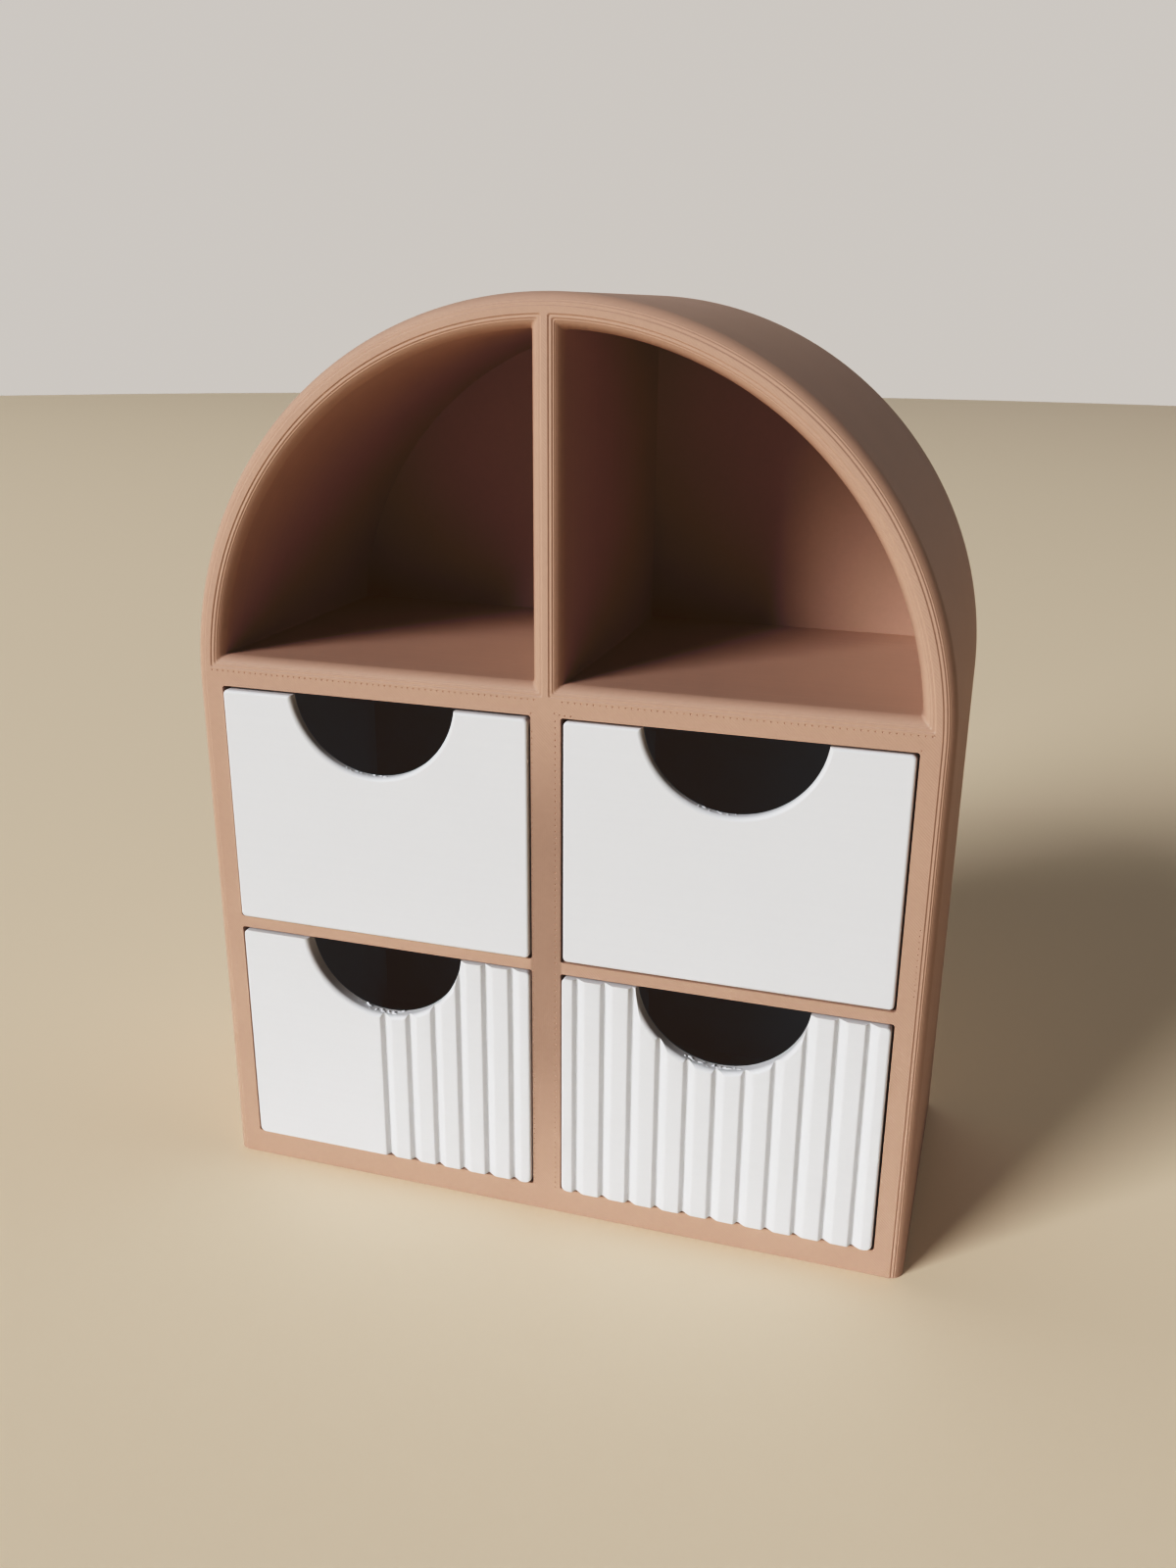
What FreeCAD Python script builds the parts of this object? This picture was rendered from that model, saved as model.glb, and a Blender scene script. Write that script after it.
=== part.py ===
# Arch-topped jewellery organizer: a one-piece printed carcass with two open quarter-round
# cubbies over four bays, and four one-piece printed drawers with half-round finger notches.
# Millimetres. +Z is up, the drawer fronts face -Y, and +X is to the right seen from the front.
# The origin is the centre of the carcass's foot.
import FreeCAD, Part

import math
import os

from FreeCAD import Vector

# Carcass
width = 150.0           # over both side walls, and the diameter of the arch
depth = 68.0            # front plane to back
wall = 6.0              # side walls and the rim of the arch
floor_thickness = 5.8   # under the lower bays
rail_thickness = 2.5    # between the lower and the upper bays
mullion_width = 6.0     # between the left and the right bays
shelf_thickness = 6.1   # between the upper bays and the cubbies
divider_width = 6.0     # between the two cubbies
back_thickness = 2.4    # behind the bays and the cubbies
bay_height = 50.8
bay_corner = 0.5        # corner radius of the bays, seen from the front
rim_land = 0.2          # flat left along the middle of the rounded rim and divider

# Clearances of a drawer in its bay
side_gap = 0.4
top_gap = 0.6
under_gap = 0.2
back_gap = 1.0

# Drawers
plain_front_thickness = 2.0
reeded_front_thickness = 3.0    # from the flats of the reeds to the inside of the tray
tray_wall = 1.8
tray_floor = 1.8
drawer_corner = 1.0     # corner radius of a drawer, seen from the front
front_edge_round = 0.6
notch_radius = 17.5
notch_depth = 15.2      # from the top edge down to the lowest point of the notch
notch_round = 1.0       # on the front edge of the notch

# How far each drawer stands out of its bay when it is closed
upper_left_proud = 0.8
upper_right_proud = 0.0
lower_left_proud = 0.5
lower_right_proud = 0.8

# Reeds: flats with grooves between them, counted from the left edge of a front
reed_pitch = 5.8
groove_depth = 1.3
steep_run = 0.5         # width of a groove's steep side, which faces right
groove_floor = 0.35
slope_run = 1.5         # width of its sloped side, which faces left
slope_round = 1.5       # between the sloped side and the next flat
first_groove = 2.45     # from the front's left edge to the first groove
skipped_grooves = 5     # left out at the left of the half-reeded front

# Modelling values
overrun = 2.0           # how far a cut runs past the face that it opens
pick_tolerance = 0.001  # for finding the edges that lie in a plane

# Places worked out from the sizes above
front_y = -depth / 2
back_y = depth / 2
inner_back_y = back_y - back_thickness
bay_width = (width - 2 * wall - mullion_width) / 2
lower_bay_z = floor_thickness
upper_bay_z = lower_bay_z + bay_height + rail_thickness
spring_z = upper_bay_z + bay_height     # the arch springs at the top of the upper bays
shelf_top_z = spring_z + shelf_thickness
right_bay_x = mullion_width / 2
left_bay_x = -right_bay_x - bay_width
outer_radius = width / 2
inner_radius = outer_radius - wall
rim_round = (wall - rim_land) / 2       # outer front edge, up both sides and over the arch
mouth_round = min(rim_round, (divider_width - rim_land) / 2, shelf_thickness - rim_land)
slope_angle = math.atan2(groove_depth, slope_run)
slope_tangent = slope_round * math.tan(slope_angle / 2)
groove_width = steep_run + groove_floor + slope_run + slope_tangent


def line(x0, z0, x1, z1):
    """Straight edge in the front plane."""
    return Part.makeLine(Vector(x0, front_y, z0), Vector(x1, front_y, z1))


def arc_about_spring(radius, start, end):
    """Arc in the front plane about the centre of the arch, between two angles from +X."""
    angles = (start, (start + end) / 2, end)
    points = [
        Vector(radius * math.cos(a), front_y, spring_z + radius * math.sin(a)) for a in angles
    ]
    return Part.Arc(*points).toShape()


def prism(edges, direction):
    """Solid that a closed ring of edges sweeps along a direction."""
    return Part.Face(Part.Wire(Part.__sortEdges__(edges))).extrude(direction)


def box(x0, x1, y0, y1, z0, z1):
    return Part.makeBox(x1 - x0, y1 - y0, z1 - z0, Vector(x0, y0, z0))


def rounded_box(x0, x1, y0, y1, z0, z1, radius, wanted):
    """Box with some edges rounded: wanted is given an edge's direction and its middle."""
    block = box(x0, x1, y0, y1, z0, z1)
    edges = [e for e in block.Edges if wanted(e.tangentAt(e.FirstParameter), e.CenterOfMass)]
    return block.makeFillet(radius, edges)


def round_cornered_box(x0, x1, y0, y1, z0, z1, radius):
    """Box whose four edges along Y are rounded."""
    def along_y(way, middle):
        return abs(way.y) > abs(way.x) + abs(way.z)

    return rounded_box(x0, x1, y0, y1, z0, z1, radius, along_y)


def front_rounded_box(x0, x1, y0, y1, z0, z1, radius):
    """Box whose two upright front edges are rounded."""
    def upright_front(way, middle):
        return abs(way.z) > abs(way.x) + abs(way.y) and middle.y < (y0 + y1) / 2

    return rounded_box(x0, x1, y0, y1, z0, z1, radius, upright_front)


def edges_in_plane(shape, y, wanted):
    """Edges that lie in the plane at y and whose middle passes the test."""
    found = []
    for edge in shape.Edges:
        middle = edge.valueAt((edge.FirstParameter + edge.LastParameter) / 2)
        points = [vertex.Point for vertex in edge.Vertexes] + [middle]
        if all(abs(p.y - y) < pick_tolerance for p in points) and wanted(middle):
            found.append(edge)
    return found


def outer_shell():
    """Solid arch block with its front edge rounded, apart from the foot, which stays sharp."""
    edges = [
        line(-outer_radius, 0, outer_radius, 0),
        line(outer_radius, 0, outer_radius, spring_z),
        arc_about_spring(outer_radius, 0, math.pi),
        line(-outer_radius, spring_z, -outer_radius, 0),
    ]
    block = prism(edges, Vector(0, depth, 0))
    rim = edges_in_plane(block, front_y, lambda middle: middle.z > pick_tolerance)
    return block.makeFillet(rim_round, rim)


def cubby(side):
    """Quarter-round pocket on one side of the divider: side is 1 for the right, -1 for the left."""
    inner_x = side * divider_width / 2
    foot_angle = math.asin(shelf_thickness / inner_radius)
    head_angle = math.acos(divider_width / 2 / inner_radius)
    foot_x = side * inner_radius * math.cos(foot_angle)
    head_z = spring_z + inner_radius * math.sin(head_angle)
    if side > 0:
        arc = arc_about_spring(inner_radius, foot_angle, head_angle)
    else:
        arc = arc_about_spring(inner_radius, math.pi - foot_angle, math.pi - head_angle)
    edges = [
        line(inner_x, shelf_top_z, foot_x, shelf_top_z),
        arc,
        line(inner_x, head_z, inner_x, shelf_top_z),
    ]
    return prism(edges, Vector(0, inner_back_y - front_y, 0))


def bay(x, z):
    """Pocket for one drawer."""
    y0 = front_y - overrun
    return round_cornered_box(x, x + bay_width, y0, inner_back_y, z, z + bay_height, bay_corner)


def carcass():
    """Shell with its cubbies, whose mouths are rounded and meet in mitres, and its bays."""
    body = outer_shell().cut([cubby(1), cubby(-1)])
    mid_rim_radius = (inner_radius + outer_radius - rim_round) / 2

    def on_a_mouth(middle):
        from_spring = math.hypot(middle.x, middle.z - spring_z)
        return middle.z > shelf_top_z - pick_tolerance and from_spring < mid_rim_radius

    body = body.makeFillet(mouth_round, edges_in_plane(body, front_y, on_a_mouth))
    bays = [bay(x, z) for x in (left_bay_x, right_bay_x) for z in (lower_bay_z, upper_bay_z)]
    return body.cut(bays)


def notch_cutter(centre_x, top_z, face_y, thickness):
    """Turned solid that cuts the finger notch and rounds its front edge, reeds included."""
    flare = notch_radius + notch_round
    bend = notch_round * (1 - math.cos(math.pi / 4))
    mouth_y = face_y - overrun
    end_y = face_y + thickness + overrun
    profile = [
        Part.makeLine(Vector(0, mouth_y, 0), Vector(flare, mouth_y, 0)),
        Part.makeLine(Vector(flare, mouth_y, 0), Vector(flare, face_y, 0)),
        Part.Arc(
            Vector(flare, face_y, 0),
            Vector(notch_radius + bend, face_y + bend, 0),
            Vector(notch_radius, face_y + notch_round, 0),
        ).toShape(),
        Part.makeLine(Vector(notch_radius, face_y + notch_round, 0), Vector(notch_radius, end_y, 0)),
        Part.makeLine(Vector(notch_radius, end_y, 0), Vector(0, end_y, 0)),
        Part.makeLine(Vector(0, end_y, 0), Vector(0, mouth_y, 0)),
    ]
    turned = Part.Face(Part.Wire(profile)).revolve(Vector(0, 0, 0), Vector(0, 1, 0), 360)
    turned.translate(Vector(centre_x, 0, top_z - notch_depth + notch_radius))
    return turned


def groove_edges(start, face_y, z):
    """Edges of one groove, seen from above: steep side, floor, slope, and its rounding to the flat."""
    corner = start + steep_run + groove_floor + slope_run
    half_angle = slope_angle / 2
    bend_x = corner + slope_tangent - slope_round * math.sin(half_angle)
    bend_y = slope_round * (1 - math.cos(half_angle))
    slope_end_x = corner - slope_tangent * math.cos(slope_angle)
    slope_end_y = slope_tangent * math.sin(slope_angle)
    brink = Vector(start, face_y, z)
    floor_start = Vector(start + steep_run, face_y + groove_depth, z)
    floor_end = Vector(start + steep_run + groove_floor, face_y + groove_depth, z)
    slope_end = Vector(slope_end_x, face_y + slope_end_y, z)
    bend = Vector(bend_x, face_y + bend_y, z)
    flat = Vector(start + groove_width, face_y, z)
    return [
        Part.makeLine(brink, floor_start),
        Part.makeLine(floor_start, floor_end),
        Part.makeLine(floor_end, slope_end),
        Part.Arc(slope_end, bend, flat).toShape(),
    ]


def reeded_plan(x0, x1, face_y, end_y, z0, z1, skipped):
    """Upright prism with grooves across its front, apart from the skipped ones at the left."""
    edges = []
    flat_start = x0
    start = x0 + first_groove + skipped * reed_pitch
    while start + groove_width < x1 - front_edge_round:
        edges.append(Part.makeLine(Vector(flat_start, face_y, z0), Vector(start, face_y, z0)))
        edges += groove_edges(start, face_y, z0)
        flat_start = start + groove_width
        start += reed_pitch
    corners = [
        Vector(flat_start, face_y, z0),
        Vector(x1, face_y, z0),
        Vector(x1, end_y, z0),
        Vector(x0, end_y, z0),
        Vector(x0, face_y, z0),
    ]
    edges += [Part.makeLine(a, b) for a, b in zip(corners, corners[1:])]
    return prism(edges, Vector(0, 0, z1 - z0))


def drawer(bay_x, bay_z, proud, reeded, skipped):
    """Open tray with its front in one piece; skipped is the count of grooves left out at the left."""
    x0 = bay_x + side_gap
    x1 = bay_x + bay_width - side_gap
    z0 = bay_z + under_gap
    z1 = bay_z + bay_height - top_gap
    face_y = front_y - proud
    end_y = inner_back_y - back_gap
    block = round_cornered_box(x0, x1, face_y, end_y, z0, z1, drawer_corner)
    if reeded:
        thickness = reeded_front_thickness
        block = block.common(front_rounded_box(x0, x1, face_y, end_y, z0, z1, front_edge_round))
        block = block.common(reeded_plan(x0, x1, face_y, end_y, z0, z1, skipped))
    else:
        thickness = plain_front_thickness
        block = block.makeFillet(front_edge_round, edges_in_plane(block, face_y, lambda middle: True))
    hollow = box(
        x0 + tray_wall, x1 - tray_wall,
        face_y + thickness, end_y - tray_wall,
        z0 + tray_floor, z1 + overrun,
    )
    return block.cut([hollow, notch_cutter((x0 + x1) / 2, z1, face_y, thickness)])


def save(name, shape):
    """Write one node, which has to be a single valid solid."""
    solid = shape.removeSplitter()
    if len(solid.Solids) != 1 or not solid.isValid():
        raise ValueError(name + " is not one valid solid")
    solid.Solids[0].exportStep(os.path.join("parts", name + ".step"))


os.makedirs("parts", exist_ok=True)
save("carcass", carcass())
save("drawer_upper_left", drawer(left_bay_x, upper_bay_z, upper_left_proud, False, 0))
save("drawer_upper_right", drawer(right_bay_x, upper_bay_z, upper_right_proud, False, 0))
half_reeded = drawer(left_bay_x, lower_bay_z, lower_left_proud, True, skipped_grooves)
save("drawer_lower_left", half_reeded)
save("drawer_lower_right", drawer(right_bay_x, lower_bay_z, lower_right_proud, True, 0))
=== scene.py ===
import math

import bmesh
import bpy
import numpy as np
from bpy.props import FloatProperty, FloatVectorProperty, IntProperty, PointerProperty
from mathutils import Matrix, Vector
from mathutils.geometry import delaunay_2d_cdt


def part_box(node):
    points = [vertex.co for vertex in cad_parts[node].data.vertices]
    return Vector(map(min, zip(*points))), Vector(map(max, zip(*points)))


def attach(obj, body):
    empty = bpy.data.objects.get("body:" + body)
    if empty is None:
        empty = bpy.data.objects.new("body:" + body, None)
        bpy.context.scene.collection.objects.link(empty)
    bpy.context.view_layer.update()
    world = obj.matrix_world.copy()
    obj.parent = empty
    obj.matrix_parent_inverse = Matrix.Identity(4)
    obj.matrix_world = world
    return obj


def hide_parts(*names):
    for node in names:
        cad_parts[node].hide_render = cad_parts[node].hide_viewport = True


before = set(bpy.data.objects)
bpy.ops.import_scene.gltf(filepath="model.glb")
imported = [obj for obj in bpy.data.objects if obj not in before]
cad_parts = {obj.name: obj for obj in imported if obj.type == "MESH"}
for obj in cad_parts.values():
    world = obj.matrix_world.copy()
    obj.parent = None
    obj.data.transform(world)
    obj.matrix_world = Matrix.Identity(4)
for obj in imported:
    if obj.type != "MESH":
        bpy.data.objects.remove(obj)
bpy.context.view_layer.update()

bl_info = {
    "name": "Jewellery drawer organizer",
    "version": (1, 0, 0),
    "blender": (4, 5, 0),
    "location": "View3D > Sidebar > Organizer",
    "description": "Dresses the arch-topped printed organizer and its four drawers",
    "category": "Object",
}

MM = 0.001
MERGE = 0.001 * MM
OVERRUN = 2 * MM
HAIR = 0.01 * MM
MARK_SIDES = 6
DRAWERS = ("drawer_upper_left", "drawer_upper_right", "drawer_lower_left", "drawer_lower_right")
REEDED = ("drawer_lower_left", "drawer_lower_right")


def length(name, description, millimetres):
    """Property for one length, given in millimetres and kept in metres."""
    return FloatProperty(
        name=name, description=description, default=millimetres * MM, min=0.0, unit="LENGTH"
    )


def colour(name, description, value):
    """Property for one linear colour."""
    return FloatVectorProperty(
        name=name, description=description, default=value, size=3, min=0.0, max=1.0, subtype="COLOR"
    )


class CarcassSizes(bpy.types.PropertyGroup):
    """Sizes of the printed carcass that its box doesn't give."""

    wall: length("Wall", "Side walls and the rim of the arch", 6.0)
    shelf: length("Shelf", "Thickness of the shelf under the cubbies", 6.1)
    divider: length("Divider", "Thickness of the wall between the cubbies", 6.0)
    back: length("Back", "Thickness of the back", 2.4)
    bay_corner: length("Bay corner", "Corner radius of a drawer bay", 0.5)
    layer: length("Layer", "Height of one printed layer", 0.2)
    bead: length("Bead", "Width of the slant that a layer's rounded edge leaves", 0.26)
    ring_round: length("Ring rounding", "Rounding of a cubby mouth's corners, seen from the front", 0.4)
    first_slice: length("First slice", "Depth at which the top layer's outline is taken", 0.05)
    infill_pitch: length("Infill pitch", "Distance along X between the front's slanted lines", 0.614)
    upright_pitch: length("Upright pitch", "Distance between the upright lines beside the drawers", 0.43)
    mark_pitch: length("Mark pitch", "Distance between turning marks of the infill", 1.228)
    mark_radius: length("Mark radius", "Radius of a turning mark on the shelf's edge", 0.23)
    mark_depth: length("Mark depth", "Depth of a turning mark", 0.18)
    shown_steps: IntProperty(
        name="Shown steps", description="Layers of the rounded rim whose steps stand apart", default=2, min=0
    )
    arch_steps: IntProperty(
        name="Arch steps", description="Segments around the half circle", default=160, min=24
    )


class DrawerSizes(bpy.types.PropertyGroup):
    """Sizes of the printed drawers that their boxes don't give."""

    side_gap: length("Side gap", "Clearance at each side of a drawer", 0.4)
    top_gap: length("Top gap", "Clearance above a drawer", 0.6)
    under_gap: length("Under gap", "Clearance under a drawer", 0.2)
    plain_front: length("Plain front", "Thickness of a plain front", 2.0)
    reeded_front: length("Reeded front", "Thickness of a front with reeds, from their flats", 3.0)
    tray_wall: length("Tray wall", "Thickness of the tray's walls", 1.8)
    tray_floor: length("Tray floor", "Thickness of the tray's floor", 1.8)
    corner: length("Corner", "Corner radius of a drawer, seen from the front", 1.0)
    edge: length("Edge", "Rounding of a front's edges", 0.6)
    notch_radius: length("Notch radius", "Radius of the finger notch", 17.5)
    notch_depth: length("Notch depth", "From the top edge to the bottom of the notch", 15.2)
    notch_round: length("Notch rounding", "Rounding of the notch's front edge", 1.0)
    reed_pitch: length("Reed pitch", "Distance between reeds", 5.8)
    groove_depth: length("Groove depth", "From a reed's flat down to the floor of a groove", 1.05)
    steep_run: length("Steep run", "Width of a groove's steep side, which faces right", 0.5)
    groove_floor: length("Groove floor", "Width of a groove's floor", 0.35)
    slope_run: length("Slope run", "Width of a groove's sloped side, which faces left", 1.5)
    slope_round: length("Slope round", "Rounding between the sloped side and the next flat", 1.5)
    brink_round: length("Brink round", "Rounding of the edge over the steep side", 0.5)
    first_groove: length("First groove", "From the left edge to the first groove", 2.45)
    burr: length("Burr", "Half width of the largest print burr under a notch", 0.3)
    burrs: IntProperty(
        name="Burrs", description="Print burrs under the notch of a reeded front", default=18, min=0
    )
    skipped_grooves: IntProperty(
        name="Skipped grooves", description="Left out at the left of the half-reeded front", default=5, min=0
    )


class FinishColours(bpy.types.PropertyGroup):
    """Linear colours of the two plastics and of the floor."""

    clay: colour("Clay plastic", "Carcass", (0.56, 0.384, 0.302))
    white: colour("White plastic", "Drawers", (0.815, 0.825, 0.845))
    floor: colour("Floor", "Plain pale floor", (0.98, 0.83, 0.64))


class OrganizerSettings(bpy.types.PropertyGroup):
    """All settings of the organizer."""

    carcass: PointerProperty(type=CarcassSizes)
    drawer: PointerProperty(type=DrawerSizes)
    finish: PointerProperty(type=FinishColours)


def settings():
    """The organizer's settings in the open scene."""
    return bpy.context.scene.organizer


# Node trees

def add_node(tree, kind, **values):
    """Node with some of its attributes set, and its inputs by name or number."""
    node = tree.nodes.new(kind)
    inputs = values.pop("inputs", {})
    for key, value in values.items():
        setattr(node, key, value)
    for key, value in inputs.items():
        if isinstance(value, bpy.types.NodeSocket):
            tree.links.new(value, node.inputs[key])
        else:
            node.inputs[key].default_value = value
    return node


def maths(tree, operation, *terms):
    """Math node on sockets and numbers; gives its result socket."""
    node = tree.nodes.new("ShaderNodeMath")
    node.operation = operation
    for number, term in enumerate(terms):
        if isinstance(term, bpy.types.NodeSocket):
            tree.links.new(term, node.inputs[number])
        else:
            node.inputs[number].default_value = term
    return node.outputs[0]


def mix(tree, choice, when_no, when_yes):
    """Mix node on two numbers; gives its result socket."""
    return add_node(
        tree, "ShaderNodeMix", data_type="FLOAT", inputs={0: choice, 2: when_no, 3: when_yes}
    ).outputs[0]


def geometry_tree(name, inputs):
    """Empty Geometry Nodes tree with a geometry in and out and some named inputs."""
    tree = bpy.data.node_groups.new(name, "GeometryNodeTree")
    tree.is_modifier = True
    tree.interface.new_socket("Geometry", in_out="INPUT", socket_type="NodeSocketGeometry")
    for label, kind in inputs:
        tree.interface.new_socket(label, in_out="INPUT", socket_type=kind)
    tree.interface.new_socket("Geometry", in_out="OUTPUT", socket_type="NodeSocketGeometry")
    return tree, tree.nodes.new("NodeGroupInput").outputs


def close_tree(tree, geometry, material):
    """Last nodes of every tree: instances made real, then the material."""
    real = add_node(tree, "GeometryNodeRealizeInstances", inputs={0: geometry})
    dressed = add_node(
        tree, "GeometryNodeSetMaterial", inputs={"Geometry": real.outputs[0], "Material": material}
    )
    tree.links.new(dressed.outputs[0], tree.nodes.new("NodeGroupOutput").inputs[0])


def run_tree(obj, tree, values):
    """Run a tree on an object and leave a plain mesh."""
    modifier = obj.modifiers.new(tree.name, "NODES")
    modifier.node_group = tree
    sockets = {s.name: s.identifier for s in tree.interface.items_tree if s.in_out == "INPUT"}
    for label, value in values.items():
        modifier[sockets[label]] = value
    make_plain(obj)


# Objects and meshes

def make_plain(obj):
    """Replace an object's mesh and modifiers by the mesh that they give."""
    depsgraph = bpy.context.evaluated_depsgraph_get()
    depsgraph.update()
    mesh = bpy.data.meshes.new_from_object(
        obj.evaluated_get(depsgraph), preserve_all_data_layers=True, depsgraph=depsgraph
    )
    obj.modifiers.clear()
    obj.data = mesh


def new_object(name, data):
    """Object at the origin, linked to the scene."""
    obj = bpy.data.objects.new(name, data)
    bpy.context.scene.collection.objects.link(obj)
    return obj


def close_shell(mesh):
    """Merge a mesh's doubles and turn its faces outwards."""
    shell = bmesh.new()
    shell.from_mesh(mesh)
    bmesh.ops.remove_doubles(shell, verts=shell.verts, dist=MERGE)
    bmesh.ops.recalc_face_normals(shell, faces=shell.faces)
    shell.to_mesh(mesh)
    shell.free()


def mesh_of(name, points, faces):
    """Closed mesh from points and faces."""
    mesh = bpy.data.meshes.new(name)
    mesh.from_pydata(points, [], faces)
    close_shell(mesh)
    return mesh


def smooth_curves(obj, degrees):
    """Smooth shading on the curved faces, with flat faces left flat."""
    obj.data.shade_smooth()
    obj.data.set_sharp_from_angle(angle=math.radians(degrees))
    weighted = obj.modifiers.new("Flat faces", "WEIGHTED_NORMAL")
    weighted.keep_sharp = True
    make_plain(obj)


def place_piece(obj, body, material, stands_for=None):
    """Give a finished piece its material and let it ride on its body."""
    obj.data.materials.clear()
    obj.data.materials.append(material)
    if stands_for:
        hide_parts(stands_for)
    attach(obj, body)


def arc_points(centre_x, centre_z, radius, start, end, count):
    """Points on an arc, in degrees from +X towards +Z, both ends included."""
    angles = np.radians(np.linspace(start, end, count + 1))
    return np.c_[centre_x + radius * np.cos(angles), centre_z + radius * np.sin(angles)]


def fillet(corner, before, after, radius, count=6):
    """Points of an arc that rounds the corner between two straight legs."""
    back = (before - corner) / np.linalg.norm(before - corner)
    ahead = (after - corner) / np.linalg.norm(after - corner)
    half = math.acos(float(back @ ahead)) / 2
    middle = corner + (back + ahead) / np.linalg.norm(back + ahead) * radius / math.sin(half)
    start = corner + back * radius / math.tan(half) - middle
    end = corner + ahead * radius / math.tan(half) - middle
    swing = math.pi - 2 * half
    shares = np.linspace(0, 1, count)[:, None]
    return middle + (start * np.sin((1 - shares) * swing) + end * np.sin(shares * swing)) / math.sin(swing)


def rounded_rectangle(x0, x1, z0, z1, radius, count):
    """Closed outline of a rectangle with round corners of count segments each."""
    corners = (
        (x1 - radius, z0 + radius, -90), (x1 - radius, z1 - radius, 0),
        (x0 + radius, z1 - radius, 90), (x0 + radius, z0 + radius, 180),
    )
    return np.vstack([arc_points(x, z, radius, a, a + 90, count) for x, z, a in corners])


class Surface:
    """Points and faces of one piece, gathered row by row and merged at the end."""

    def __init__(self):
        self.points = []
        self.faces = []
        self.on_front = []

    def row(self, outline, y):
        """Row of points with the same depth."""
        first = len(self.points)
        self.points += [(x, y, z) for x, z in outline]
        return list(range(first, len(self.points)))

    def bridge(self, row, other, closed):
        """Faces between two rows with the same number of points."""
        count = len(row) if closed else len(row) - 1
        for i in range(count):
            j = (i + 1) % len(row)
            self.faces.append((row[i], row[j], other[j], other[i]))
            self.on_front.append(0.0)

    def tube(self, rows, closed):
        """Faces along a stack of rows."""
        for row, other in zip(rows, rows[1:]):
            self.bridge(row, other, closed)

    def cap(self, row):
        """One face over a whole row."""
        self.faces.append(tuple(row))
        self.on_front.append(0.0)

    def flat(self, loops, y):
        """Flat front face between an outer loop, which comes first, and its holes."""
        points, edges = [], []
        for loop in loops:
            first = len(points)
            points += [Vector((x / MM, z / MM)) for x, z in loop]
            count = len(loop)
            edges += [(first + i, first + (i + 1) % count) for i in range(count)]
        all_faces, tolerance = 0, 1e-5
        found = delaunay_2d_cdt(points, edges, [], all_faces, tolerance)
        places = np.array([(p.x, p.y) for p in found[0]]) * MM
        triangles = np.array(found[2])
        middles = places[triangles].mean(axis=1)
        inside = np.zeros(len(triangles), bool)
        for loop in loops:
            inside ^= inside_loop(middles, np.asarray(loop))
        first = len(self.points)
        self.points += [(x, y, z) for x, z in places]
        self.faces += [tuple(first + i for i in t) for t in triangles[inside]]
        self.on_front += [1.0] * int(inside.sum())

    def mesh(self, name):
        """Merged mesh, with the front's flat faces marked for the material."""
        mesh = bpy.data.meshes.new(name)
        mesh.from_pydata(self.points, [], self.faces)
        mark = mesh.attributes.new("on_front", "FLOAT", "FACE")
        mark.data.foreach_set("value", self.on_front)
        close_shell(mesh)
        return mesh


def inside_loop(points, loop):
    """Which points lie inside a closed loop."""
    inside = np.zeros(len(points), bool)
    for (x0, z0), (x1, z1) in zip(loop, np.roll(loop, -1, axis=0)):
        if z0 == z1:
            continue
        crosses = (points[:, 1] > min(z0, z1)) & (points[:, 1] <= max(z0, z1))
        at = x0 + (points[:, 1] - z0) * (x1 - x0) / (z1 - z0)
        inside ^= crosses & (points[:, 0] < at)
    return inside


# Materials

# Strengths of the print's marks, of the painted shade on the wall between the drawers, and of the shine in
# the plastics
TONE_SWING = 0.08
UPRIGHT_PAINTED_SHADE = 0.24
UPRIGHT_RELIEF = 0.4
GRAIN_RELIEF = 1.5
LINE_HEIGHT = 0.03 * MM
LINE_STRENGTH = 0.25
ROUGHNESS_SWING = 0.16
SHINE = 0.35

# Scales of the noises in the plastics, per metre: bands between layers, fine grain and wide clouds
BAND_SCALE = 700.0
GRAIN_SCALE = 900.0
CLOUD_SCALE = 60.0


def line_wave(tree, value, pitch):
    """Wave that repeats along a coordinate."""
    return maths(tree, "SINE", maths(tree, "MULTIPLY", value, math.tau / pitch))


def centred(tree, value, swing, middle=0.0):
    """Noise between 0 and 1 turned into a swing about a middle value."""
    return maths(tree, "MULTIPLY_ADD", value, swing, middle - swing / 2)


def upright_lines_and_painted_shade(tree, axes, front):
    """How far the front's lines run upright and how far painted shade darkens the front: fully on the narrow
    wall between the drawers, fading out near the crossing and near its foot.
    """
    foot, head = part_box("drawer_lower_right")[0].z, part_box("drawer_upper_right")[1].z
    half = settings().carcass.divider / 2
    soft_edge = 0.5 * MM
    head_fade = (head + 3 * MM, head - 25 * MM)
    foot_fade = (foot - 6 * MM, foot + 40 * MM)

    def ramp(value, start, end):
        return add_node(
            tree, "ShaderNodeMapRange", interpolation_type="SMOOTHSTEP",
            inputs={"Value": value, "From Min": start, "From Max": end},
        ).outputs[0]

    beside = ramp(maths(tree, "ABSOLUTE", axes.outputs["X"]), half + soft_edge, half)
    under = ramp(axes.outputs["Z"], *head_fade)
    over = ramp(axes.outputs["Z"], *foot_fade)
    share = maths(tree, "MULTIPLY", beside, maths(tree, "MULTIPLY", under, over))
    return maths(tree, "MULTIPLY", share, front)


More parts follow.
